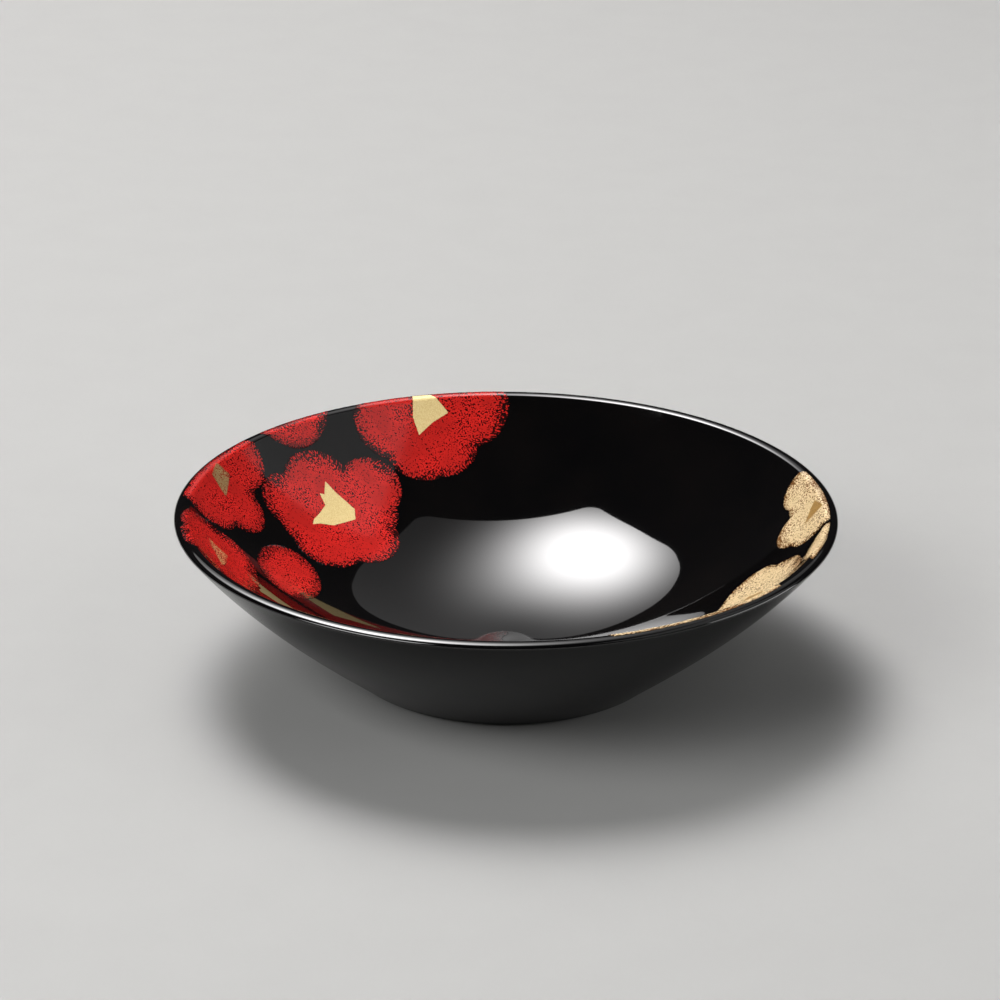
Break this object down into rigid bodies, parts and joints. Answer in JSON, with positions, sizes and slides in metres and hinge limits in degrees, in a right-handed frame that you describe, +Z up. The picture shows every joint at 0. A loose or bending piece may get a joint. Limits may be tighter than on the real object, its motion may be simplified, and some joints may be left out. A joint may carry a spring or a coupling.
{
  "type": "painted lacquer bowl",
  "caption": "Wide shallow serving bowl with a low foot ring, black gloss lacquer all over, and red and gold stippled camellias painted inside below the rim.",
  "frame": {"origin": "centre of the foot ring on the surface the bowl stands on", "axes": "+Z up along the bowl's turning axis, +X to the right and +Y away from the viewer"},
  "size_m": [0.21, 0.21, 0.0529],
  "materials": {
    "turned_wood": "turned, unfinished",
    "ground_coat": "flat rubbed ground coat",
    "black_lacquer": "polished black lacquer",
    "red_lacquer": "stippled red lacquer",
    "gold_powder": "pale gold powder in lacquer",
    "bronze_powder": "dark gold powder in lacquer"
  },
  "bodies": {
    "root": {"turned_core": "turned_wood", "ground_coat_inside": "ground_coat", "ground_coat_outside": "ground_coat", "inner_lacquer": "black_lacquer", "outer_lacquer": "black_lacquer", "rim_lacquer": "black_lacquer", "foot_lacquer": "black_lacquer", "red_camellia_main": "red_lacquer", "red_camellia_far": "red_lacquer", "red_camellia_left": "red_lacquer", "red_camellia_near": "red_lacquer", "red_petal_rim": "red_lacquer", "red_petal_fallen": "red_lacquer", "gold_heart_main": "gold_powder", "gold_heart_far": "gold_powder", "gold_heart_left": "gold_powder", "gold_heart_near": "gold_powder", "gold_camellia_rim": "gold_powder", "gold_petal_rim": "gold_powder", "gold_camellia_wall": "gold_powder", "gold_camellia_near": "gold_powder", "bronze_heart_rim": "bronze_powder", "bronze_heart_wall": "bronze_powder", "bronze_heart_near": "bronze_powder"}
  },
  "joints": []
}
